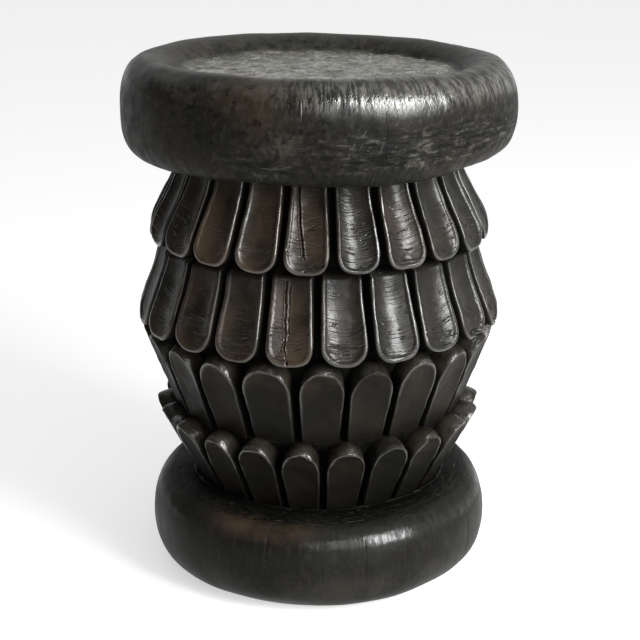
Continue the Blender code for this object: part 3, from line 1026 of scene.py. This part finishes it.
def make_drum(name, low, high, foot_radius, head_radius, material, node):
    profile = [(0.0, high), (head_radius * DRUM_INNER_SHARE, high)]
    for row in range(DRUM_ROWS + 1):
        share = row / DRUM_ROWS
        profile.append((between(head_radius, foot_radius, share), between(high, low, share)))
    profile += [(foot_radius * DRUM_INNER_SHARE, low), (0.0, low)]
    item = turned_blank(name, profile, DRUM_STEPS)
    points = corners_of(item.data)
    normals = normals_of(item.data)
    points = points + normals * (DRUM_GRAIN_HEIGHT * rough(points, *DRUM_GRAIN))[:, None]
    set_corners(item.data, points)
    finish_piece(item, material, "standing_leaf_wood", node)


# Wood

BLACK = (0.0060, 0.0057, 0.0046, 1.0)
DARK_BROWN = (0.0112, 0.0092, 0.0064, 1.0)
DARK_GREY = (0.0104, 0.0101, 0.0083, 1.0)
RUBBED_BROWN = (0.046, 0.031, 0.019, 1.0)
RUBBED_GREY = (0.048, 0.046, 0.037, 1.0)
SCRATCHED = (0.100, 0.097, 0.078, 1.0)
# Near black for cracks, pits and tears, and for painted shade in the grooves, under the leaf tips, on the
# base's ledge and in the gouge
CRACK_AND_SHADE_BLACK = (0.0010, 0.0009, 0.0007, 1.0)
DUSTY = (0.150, 0.145, 0.114, 1.0)

# Spots of wear: centre, and the distances where the wear ends and where it is full
SEAT_BROWN_SPOT = ((-0.056, -0.146, 0.442), 0.052, 0.012)
SEAT_PALE_SPOT = ((-0.030, -0.164, 0.402), 0.017, 0.004)
SEAT_SHEEN_SPOT = ((0.056, -0.153, 0.436), 0.048, 0.010)
BASE_BROWN_SPOT = ((-0.046, -0.122, 0.072), 0.060, 0.014)


def add_node(tree, kind, settings=None, inputs=None):
    node = tree.nodes.new(kind)
    for key, value in (settings or {}).items():
        setattr(node, key, value)
    for key, value in (inputs or {}).items():
        if isinstance(value, bpy.types.NodeSocket):
            tree.links.new(value, node.inputs[key])
        else:
            node.inputs[key].default_value = value
    return node


def painted(tree, name):
    return add_node(tree, "ShaderNodeAttribute", {"attribute_name": name}).outputs["Fac"]


def object_place(tree):
    return add_node(tree, "ShaderNodeTexCoord").outputs["Object"]


def noise_at(tree, vector, scale, detail, roughness, distortion):
    values = {"Vector": vector, "Scale": scale, "Detail": detail, "Roughness": roughness,
              "Distortion": distortion}
    return add_node(tree, "ShaderNodeTexNoise", inputs=values).outputs["Fac"]


def mottle(tree, scale, stretch=(1.0, 1.0, 1.0), detail=4.0, roughness=0.55, distortion=0.0):
    mapping = add_node(tree, "ShaderNodeMapping", inputs={"Vector": object_place(tree), "Scale": stretch})
    return noise_at(tree, mapping.outputs["Vector"], scale, detail, roughness, distortion)


def ranged(tree, value, low, high, to_low=0.0, to_high=1.0):
    values = {"Value": value, "From Min": low, "From Max": high, "To Min": to_low, "To Max": to_high}
    node = add_node(tree, "ShaderNodeMapRange", {"interpolation_type": 'SMOOTHSTEP'}, values)
    return node.outputs["Result"]


def sums(tree, operation, first, second):
    return add_node(tree, "ShaderNodeMath", {"operation": operation}, {0: first, 1: second}).outputs["Value"]


def times(tree, first, second):
    return sums(tree, 'MULTIPLY', first, second)


def plus(tree, first, second):
    return sums(tree, 'ADD', first, second)


def larger(tree, first, second):
    return sums(tree, 'MAXIMUM', first, second)


def rest_of(tree, share):
    return sums(tree, 'SUBTRACT', 1.0, share)


def vectors(tree, operation, first, second=None):
    inputs = {0: first} if second is None else {0: first, 1: second}
    return add_node(tree, "ShaderNodeVectorMath", {"operation": operation}, inputs).outputs


def mixed(tree, share, first, second):
    node = add_node(tree, "ShaderNodeMix", {"data_type": 'RGBA'}, {0: share, 6: first, 7: second})
    return node.outputs[2]


def stained(tree, colour, mask, amount, stain):
    """A colour with an amount of a stain where a mask is full."""
    return mixed(tree, times(tree, mask, amount), colour, stain)


def raised(tree, height, pattern, mask, amount):
    """A bump height with an amount of a pattern added where a mask is full."""
    return plus(tree, height, times(tree, times(tree, pattern, mask), amount))


def blended(tree, share, first, second):
    node = add_node(tree, "ShaderNodeMix", {"data_type": 'FLOAT'}, {0: share, 2: first, 3: second})
    return node.outputs[0]


def nearness(tree, spot, far, near):
    """1 close to a spot on the stool, falling to 0 away from it."""
    return ranged(tree, vectors(tree, 'DISTANCE', object_place(tree), spot)["Value"], far, near)


def new_wood(name, specular, polish_rough, polish_index=1.6):
    material = bpy.data.materials.new(name)
    material.use_nodes = True
    tree = material.node_tree
    shader = tree.nodes["Principled BSDF"]
    shader.inputs["Specular IOR Level"].default_value = specular
    shader.inputs["Coat Roughness"].default_value = polish_rough
    shader.inputs["Coat IOR"].default_value = polish_index
    return material, tree, shader


def finish_wood(tree, shader, colour, roughness, height, strength, distance):
    tree.links.new(colour, shader.inputs["Base Color"])
    tree.links.new(roughness, shader.inputs["Roughness"])
    values = {"Strength": strength, "Distance": distance, "Height": height}
    normal = add_node(tree, "ShaderNodeBump", inputs=values).outputs["Normal"]
    tree.links.new(normal, shader.inputs["Normal"])
    tree.links.new(normal, shader.inputs["Coat Normal"])


def leaf_marks(tree, arc_scale, across_scale, detail):
    """Noise drawn out across a leaf, sagging at the middle, and different on each leaf."""
    arc = times(tree, painted(tree, "arc"), arc_scale)
    across = times(tree, painted(tree, "across"), across_scale)
    vector = add_node(tree, "ShaderNodeCombineXYZ", inputs={"X": arc, "Y": across, "Z": painted(tree, "own")})
    return noise_at(tree, vector.outputs["Vector"], 1.0, detail, 0.5, 0.0)


def thin_lines(tree, value, width):
    """Lines where a noise crosses its middle."""
    away = sums(tree, 'ABSOLUTE', sums(tree, 'SUBTRACT', value, 0.5), 0.0)
    return ranged(tree, away, width, 0.0)


def leaf_wood(name, specular, face_rough, polish_rough, least_polish):
    material, tree, shader = new_wood(name, specular, polish_rough)
    rub = painted(tree, "rub")
    soot = painted(tree, "soot")
    marks = painted(tree, "marks")
    blotch = mottle(tree, 34.0)
    grain = mottle(tree, 260.0, (1.0, 1.0, 0.07), detail=5.0)
    wrinkles = thin_lines(tree, leaf_marks(tree, 230.0, 22.0, 1.0), 0.030)
    cracked = times(tree, wrinkles, ranged(tree, mottle(tree, 85.0, detail=2.0), 0.43, 0.54))
    lines = times(tree, cracked, marks)
    ripples = times(tree, leaf_marks(tree, 760.0, 46.0, 2.0), marks)
    hacked = mottle(tree, 230.0, (1.0, 1.0, 0.6), detail=4.0, roughness=0.6)

    brown = times(tree, painted(tree, "brown"), ranged(tree, blotch, 0.28, 0.60))
    worn = times(tree, rub, ranged(tree, mottle(tree, 90.0), 0.32, 0.62))
    colour = mixed(tree, ranged(tree, blotch, 0.40, 0.75), BLACK, DARK_BROWN)
    colour = mixed(tree, brown, colour, RUBBED_BROWN)
    colour = stained(tree, colour, worn, 0.28, RUBBED_GREY)
    colour = stained(tree, colour, lines, 0.9, CRACK_AND_SHADE_BLACK)
    # Painted shade: near black where the painted shade mask is full; the same mask also roughens the wood and
    # takes off its polish
    colour = mixed(tree, soot, colour, CRACK_AND_SHADE_BLACK)

    roughness = ranged(tree, mottle(tree, 130.0, (1.0, 1.0, 0.35)), 0.3, 0.7, *face_rough)
    roughness = blended(tree, soot, roughness, 0.7)

    polish = times(tree, rub, rest_of(tree, soot))
    polish = times(tree, polish, ranged(tree, mottle(tree, 46.0), 0.36, 0.60, least_polish, 1.0))
    worn_face = ranged(tree, mottle(tree, 120.0), 0.30, 0.62, 0.20, 0.44)
    polish = larger(tree, polish, times(tree, painted(tree, "face"), worn_face))
    tree.links.new(polish, shader.inputs["Coat Weight"])

    height = plus(tree, times(tree, grain, 0.30), times(tree, mottle(tree, 150.0), 0.45))
    height = plus(tree, height, plus(tree, times(tree, ripples, 1.25), times(tree, lines, -2.2)))
    height = raised(tree, height, painted(tree, "hacked"), hacked, 2.0)
    finish_wood(tree, shader, colour, roughness, height, 0.5, 0.0008)
    return material


def round_marks(tree, around, along, detail, skew=0.0):
    """Noise on a turned piece: around is how often it changes round the axis, along how often down it.

    skew winds the marks round the axis as they run down.
    """
    path = painted(tree, "path")
    wound = add_node(tree, "ShaderNodeVectorRotate", {"rotation_type": 'Z_AXIS'},
                     {"Vector": object_place(tree), "Angle": times(tree, path, skew)})
    level = vectors(tree, 'MULTIPLY', wound.outputs["Vector"], (1.0, 1.0, 0.0))["Vector"]
    spoke = vectors(tree, 'NORMALIZE', level)["Vector"]
    ring = vectors(tree, 'MULTIPLY', spoke, (around, around, 0.0))["Vector"]
    drop = add_node(tree, "ShaderNodeCombineXYZ", inputs={"Z": times(tree, path, along)}).outputs["Vector"]
    return noise_at(tree, vectors(tree, 'ADD', ring, drop)["Vector"], 1.0, detail, 0.6, 0.0)


class SeatPatterns:
    """The noise and the painted marks that the colour, the polish and the relief of the seat share."""

    def __init__(self, tree):
        self.blotch = mottle(tree, 14.0, detail=6.0)
        self.patches = mottle(tree, 48.0, (1.0, 1.0, 1.6), detail=4.0)
        self.scales = mottle(tree, 95.0, (1.0, 1.0, 0.75), detail=6.0, roughness=0.65)
        self.combed = round_marks(tree, 54.0, 48.0, 3.0)
        self.slashes = round_marks(tree, 60.0, 110.0, 4.0, skew=3.0)
        self.tears = round_marks(tree, 12.0, 330.0, 4.0)
        curling = mottle(tree, 58.0, (1.0, 1.5, 1.0), detail=2.5, distortion=1.4)
        self.curls = thin_lines(tree, curling, 0.035)
        self.wrinkles = mottle(tree, 72.0, (1.1, 0.9, 1.0), detail=3.0, distortion=2.2)
        self.dished = painted(tree, "dished")
        self.flakes = painted(tree, "flakes")
        self.ridges = painted(tree, "ridges")
        self.rub = painted(tree, "rub")
        self.hewn = painted(tree, "hewn")
        self.torn = painted(tree, "torn")
        self.combing = painted(tree, "combing")
        self.film = painted(tree, "film")
        self.gouged = painted(tree, "gouged")


def seat_side_colour(tree, seat):
    """Black wood, rubbed brown and grey, scratched on its edge and scuffed, pitted and torn on its side."""
    colour = mixed(tree, ranged(tree, seat.blotch, 0.42, 0.68), BLACK, DARK_BROWN)
    worn = times(tree, nearness(tree, *SEAT_BROWN_SPOT), ranged(tree, seat.blotch, 0.35, 0.62))
    colour = stained(tree, colour, worn, 0.45, RUBBED_BROWN)
    pale = times(tree, nearness(tree, *SEAT_PALE_SPOT), ranged(tree, seat.scales, 0.42, 0.58))
    colour = stained(tree, colour, pale, 0.6, RUBBED_GREY)
    plain_streaks = ranged(tree, seat.patches, 0.46, 0.66, 0.0, 0.4)
    streaks = blended(tree, seat.combing, plain_streaks, ranged(tree, seat.combed, 0.45, 0.60))
    colour = stained(tree, colour, times(tree, seat.rub, streaks), 0.6, SCRATCHED)
    speckles = ranged(tree, mottle(tree, 210.0, (1.0, 1.0, 0.8), detail=3.0), 0.48, 0.68)
    colour = stained(tree, colour, speckles, 0.20, RUBBED_GREY)
    pits = ranged(tree, mottle(tree, 120.0, (1.0, 1.0, 1.3), detail=4.0), 0.46, 0.32)
    colour = stained(tree, colour, pits, 0.8, CRACK_AND_SHADE_BLACK)
    scuffs = times(tree, seat.hewn, ranged(tree, seat.slashes, 0.55, 0.68))
    scuffs = times(tree, scuffs, ranged(tree, seat.patches, 0.42, 0.60))
    colour = stained(tree, colour, scuffs, 0.34, SCRATCHED)
    flecks = times(tree, seat.torn, ranged(tree, seat.tears, 0.44, 0.34))
    colour = stained(tree, colour, flecks, 0.35, SCRATCHED)
    return stained(tree, colour, seat.torn, ranged(tree, seat.tears, 0.50, 0.58), CRACK_AND_SHADE_BLACK)


def seat_dish_colour(tree, seat, colour):
    """Grey dust on the floor of the dish, a thin film of it on the wall, and painted shade in the gouge."""
    dusted = blended(tree, seat.flakes, 0.62, ranged(tree, seat.patches, 0.32, 0.62, 0.70, 0.88))
    dusted = plus(tree, dusted, times(tree, seat.ridges, 0.25))
    dusted = times(tree, dusted, rest_of(tree, times(tree, seat.curls, 0.45)))
    colour = stained(tree, colour, seat.dished, dusted, DUSTY)
    colour = stained(tree, colour, seat.film, ranged(tree, seat.scales, 0.36, 0.66, 0.0, 0.16), DUSTY)
    # Painted shade: the gouge is coloured near black
    return stained(tree, colour, seat.gouged, 0.85, CRACK_AND_SHADE_BLACK)


def seat_polish(tree, seat):
    combed_polish = ranged(tree, seat.combed, 0.36, 0.54, 0.30, 1.0)
    polish = times(tree, seat.rub, blended(tree, seat.combing, 0.25, combed_polish))
    sheen = times(tree, nearness(tree, *SEAT_SHEEN_SPOT), times(tree, seat.rub, 0.9))
    polish = larger(tree, larger(tree, polish, sheen), times(tree, seat.film, 0.10))
    wrinkle_polish = ranged(tree, seat.wrinkles, 0.40, 0.54, 0.12, 1.0)
    dish_polish = larger(tree, wrinkle_polish, times(tree, seat.ridges, 0.9))
    dish_polish = times(tree, blended(tree, seat.flakes, 0.65, 1.0), dish_polish)
    polish = blended(tree, seat.dished, polish, dish_polish)
    return times(tree, polish, rest_of(tree, seat.gouged))


def seat_wood():
    material, tree, shader = new_wood("seat_wood", 0.09, 0.17, polish_index=1.85)
    seat = SeatPatterns(tree)
    colour = seat_dish_colour(tree, seat, seat_side_colour(tree, seat))
    dish_roughness = blended(tree, seat.flakes, 0.50, 0.38)
    roughness = blended(tree, seat.dished, ranged(tree, seat.scales, 0.3, 0.7, 0.40, 0.58), dish_roughness)
    tree.links.new(seat_polish(tree, seat), shader.inputs["Coat Weight"])
    height = times(tree, seat.scales, blended(tree, seat.hewn, 0.6, 1.0))
    height = raised(tree, height, seat.combed, times(tree, seat.rub, seat.combing), 1.5)
    height = raised(tree, height, seat.slashes, seat.hewn, 0.6)
    height = raised(tree, height, seat.tears, seat.torn, -2.2)
    height = raised(tree, height, seat.curls, seat.dished, -0.7)
    height = raised(tree, height, seat.wrinkles, seat.dished, 2.4)
    finish_wood(tree, shader, colour, roughness, height, 0.6, 0.0012)
    return material


def base_wood():
    material, tree, shader = new_wood("base_wood", 0.09, 0.12)
    blotch = mottle(tree, 16.0, detail=6.0)
    combed = round_marks(tree, 50.0, 70.0, 4.0)
    chiselled = round_marks(tree, 11.0, 420.0, 3.0)
    scales = mottle(tree, 110.0, detail=5.0)
    path = painted(tree, "path")
    ledge = painted(tree, "ledge")
    soot = painted(tree, "soot")
    rub = painted(tree, "rub")

    colour = mixed(tree, ranged(tree, blotch, 0.42, 0.7), BLACK, DARK_GREY)
    shoulder = times(tree, ranged(tree, path, 0.042, 0.058), ranged(tree, path, 0.086, 0.066))
    worn = times(tree, nearness(tree, *BASE_BROWN_SPOT), ranged(tree, blotch, 0.33, 0.58))
    colour = stained(tree, colour, times(tree, worn, shoulder), 0.85, RUBBED_BROWN)
    cloudy = ranged(tree, mottle(tree, 26.0, detail=5.0), 0.40, 0.62)
    colour = stained(tree, colour, times(tree, ranged(tree, path, 0.104, 0.124), cloudy), 0.30, RUBBED_GREY)
    dust = times(tree, ranged(tree, combed, 0.48, 0.72), rest_of(tree, ledge))
    colour = stained(tree, colour, dust, 0.14, RUBBED_GREY)
    speckles = ranged(tree, mottle(tree, 190.0, detail=3.0), 0.50, 0.70)
    colour = stained(tree, colour, speckles, 0.10, RUBBED_GREY)
    # Painted shade: the ledge under the overhanging leaves is darkened, broken by the chisel strokes, and
    # darkest next to the leaves
    painted_ledge_shade = times(tree, ledge, ranged(tree, chiselled, 0.40, 0.56, 0.15, 0.95))
    colour = mixed(tree, larger(tree, soot, painted_ledge_shade), colour, CRACK_AND_SHADE_BLACK)
    chips = times(tree, ledge, ranged(tree, chiselled, 0.62, 0.70))
    colour = stained(tree, colour, chips, 0.7, RUBBED_GREY)

    roughness = blended(tree, ledge, ranged(tree, blotch, 0.3, 0.7, 0.36, 0.50), 0.6)

    polish = times(tree, rub, ranged(tree, scales, 0.32, 0.58, 0.16, 0.50))
    polish = times(tree, polish, ranged(tree, round_marks(tree, 40.0, 30.0, 3.0), 0.40, 0.56, 0.45, 1.0))
    tree.links.new(polish, shader.inputs["Coat Weight"])

    height = plus(tree, times(tree, scales, blended(tree, rub, 0.40, 0.90)), times(tree, combed, 0.45))
    height = blended(tree, ledge, height, times(tree, chiselled, 2.2))
    finish_wood(tree, shader, colour, roughness, height, 0.45, 0.0009)
    return material


def painted_shade_groove_wood():
    material, tree, shader = new_wood("painted_shade_groove_wood", 0.03, 0.3)
    chisel = mottle(tree, 160.0, (1.0, 1.0, 0.15), detail=4.0)
    # Painted shade: the wood behind the leaves is coloured darker than the leaves themselves
    colour = mixed(tree, ranged(tree, chisel, 0.35, 0.7), CRACK_AND_SHADE_BLACK, BLACK)
    roughness = ranged(tree, chisel, 0.3, 0.7, 0.7, 0.85)
    finish_wood(tree, shader, colour, roughness, chisel, 0.5, 0.0008)
    return material


# Stage, light and camera

FLOOR_SIZE = 60.0
FLOOR_DROP = 0.0002
FLOOR_COLOUR = (0.62, 0.62, 0.62, 1.0)
FLOOR_GLOW = 0.55
WHITE = (1.0, 1.0, 1.0, 1.0)
BRIGHT_WAY = (0.48, 0.62, 0.62)

# Lamps: place, width, height and power in watts
LAMP_AIM = (0.0, 0.0, 0.28)
PANEL = ((1.05, -1.70, 0.80), 2.8, 1.4, 34.0)
WINDOW = ((1.39, -1.296, 1.05), 0.68, 1.2, 60.0)

# Camera, fitted to the outline in the photograph: the pitch is in degrees, the lens and sensor in millimetres
CAMERA_PLACE = (0.0, -1.213, 0.611)
CAMERA_PITCH = 18.07
LENS = 80.775
SENSOR_WIDTH = 36.0
SIDE_SHIFT = 0.00266


def make_floor():
    deselect_all()
    bpy.ops.mesh.primitive_plane_add(size=FLOOR_SIZE, location=(0.0, 0.0, -FLOOR_DROP))
    floor = bpy.context.object
    floor.name = "floor"
    material = bpy.data.materials.new("pale_floor")
    material.use_nodes = True
    tree = material.node_tree
    shader = tree.nodes["Principled BSDF"]
    shader.inputs["Base Color"].default_value = FLOOR_COLOUR
    shader.inputs["Roughness"].default_value = 0.9
    shader.inputs["Specular IOR Level"].default_value = 0.1
    path = add_node(tree, "ShaderNodeLightPath")
    seen = larger(tree, path.outputs["Is Camera Ray"], path.outputs["Is Glossy Ray"])
    seen = larger(tree, seen, path.outputs["Is Transmission Ray"])
    glow = add_node(tree, "ShaderNodeEmission", inputs={"Strength": times(tree, seen, FLOOR_GLOW)})
    lit = {0: shader.outputs["BSDF"], 1: glow.outputs["Emission"]}
    both = add_node(tree, "ShaderNodeAddShader", inputs=lit)
    tree.links.new(both.outputs["Shader"], tree.nodes["Material Output"].inputs["Surface"])
    floor.data.materials.append(material)


def make_world():
    """Soft light all round: pale behind, above and along the horizon, dim in front and on the left."""
    world = bpy.data.worlds.new("studio")
    bpy.context.scene.world = world
    world.use_nodes = True
    tree = world.node_tree
    way = add_node(tree, "ShaderNodeTexCoord").outputs["Generated"]
    facing = vectors(tree, 'DOT_PRODUCT', way, BRIGHT_WAY)["Value"]
    level = ranged(tree, facing, -0.20, 0.80, 0.04, 0.76)
    height = add_node(tree, "ShaderNodeSeparateXYZ", inputs={"Vector": way}).outputs["Z"]
    skirt = ranged(tree, height, 0.09, 0.03, 0.0, 0.95)
    tree.links.new(larger(tree, level, skirt), tree.nodes["Background"].inputs["Strength"])
    tree.nodes["Background"].inputs["Color"].default_value = WHITE


def add_lamp(name, place, width, height, power):
    lamp = bpy.data.lights.new(name, 'AREA')
    lamp.shape = 'RECTANGLE'
    lamp.size = width
    lamp.size_y = height
    lamp.energy = power
    item = bpy.data.objects.new(name, lamp)
    bpy.context.scene.collection.objects.link(item)
    item.location = place
    item.rotation_euler = (Vector(LAMP_AIM) - Vector(place)).to_track_quat('-Z', 'Y').to_euler()


def make_camera():
    data = bpy.data.cameras.new("camera")
    data.sensor_width = SENSOR_WIDTH
    data.lens = LENS
    data.shift_x = SIDE_SHIFT
    camera = bpy.data.objects.new("camera", data)
    bpy.context.scene.collection.objects.link(camera)
    camera.location = CAMERA_PLACE
    camera.rotation_euler = (math.radians(90.0 - CAMERA_PITCH), 0.0, 0.0)
    bpy.context.scene.camera = camera


def make_hanging_tiers():
    material = leaf_wood("hanging_leaf_wood", 0.10, (0.40, 0.55), 0.21, 0.5)
    tier_1 = hanging_leaf(SEAT_LOW, TIER_1_LOW + TIER_1_TIP_REST, TIER_1_STANDS, TIER_1_LAP, 0.0)
    tier_2 = hanging_leaf(TIER_1_LOW, TIER_2_LOW + TIER_2_TIP_REST, TIER_2_STANDS, TIER_2_LAP,
                          TIER_2_LAP_FADE)
    make_leaf_ring("tier_1", tier_1, TIER_1_TURN, material, "hanging_leaf_wood",
                   lambda number: f"tier_1_leaf_{number:02d}")
    make_leaf_ring("tier_2", tier_2, TIER_2_TURN, material, "hanging_leaf_wood",
                   lambda number: f"tier_2_leaf_{number:02d}")


def make_standing_tiers(grooves):
    material = leaf_wood("standing_leaf_wood", 0.06, (0.42, 0.54), 0.20, 0.15)
    tier_3 = standing_leaf(TIER_3_LOW, TIER_2_LOW + TIER_3_TIP_RISE, (TIER_3_FOOT_RADIUS, BELLY_RADIUS),
                           TIER_3_STANDS, TIER_3_LAP, TIER_3_CAP_FALL, 0.0)
    tier_4 = standing_leaf(TIER_4_LOW, TIER_3_LOW + TIER_4_TIP_RISE, (WAIST_RADIUS, TIER_4_TOP_RADIUS),
                           TIER_4_STANDS, TIER_4_LAP, TIER_4_CAP_FALL, TIER_4_SHADE)
    make_leaf_ring("tier_3", tier_3, TIER_3_TURN, material, "standing_leaf_wood",
                   lambda number: "tier_3_leaves")
    make_leaf_ring("tier_4", tier_4, TIER_4_TURN, material, "standing_leaf_wood",
                   lambda number: "tier_4_leaves")
    make_drum("tier_3_drum", TIER_3_LOW, TIER_2_LOW, TIER_3_FOOT_RADIUS, BELLY_RADIUS, grooves,
              "tier_3_leaves")
    make_drum("tier_4_drum", TIER_4_LOW, TIER_3_LOW, WAIST_RADIUS, TIER_4_TOP_RADIUS, grooves,
              "tier_4_leaves")


def make_object():
    grooves = painted_shade_groove_wood()
    make_seat(seat_wood())
    make_base(base_wood())
    make_hanging_tiers()
    make_standing_tiers(grooves)
    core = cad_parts["core"]
    core.data.materials.clear()
    core.data.materials.append(grooves)


make_object()
make_floor()
make_world()
add_lamp("panel", *PANEL)
add_lamp("window", *WINDOW)
make_camera()
bpy.context.scene.view_settings.view_transform = 'Standard'
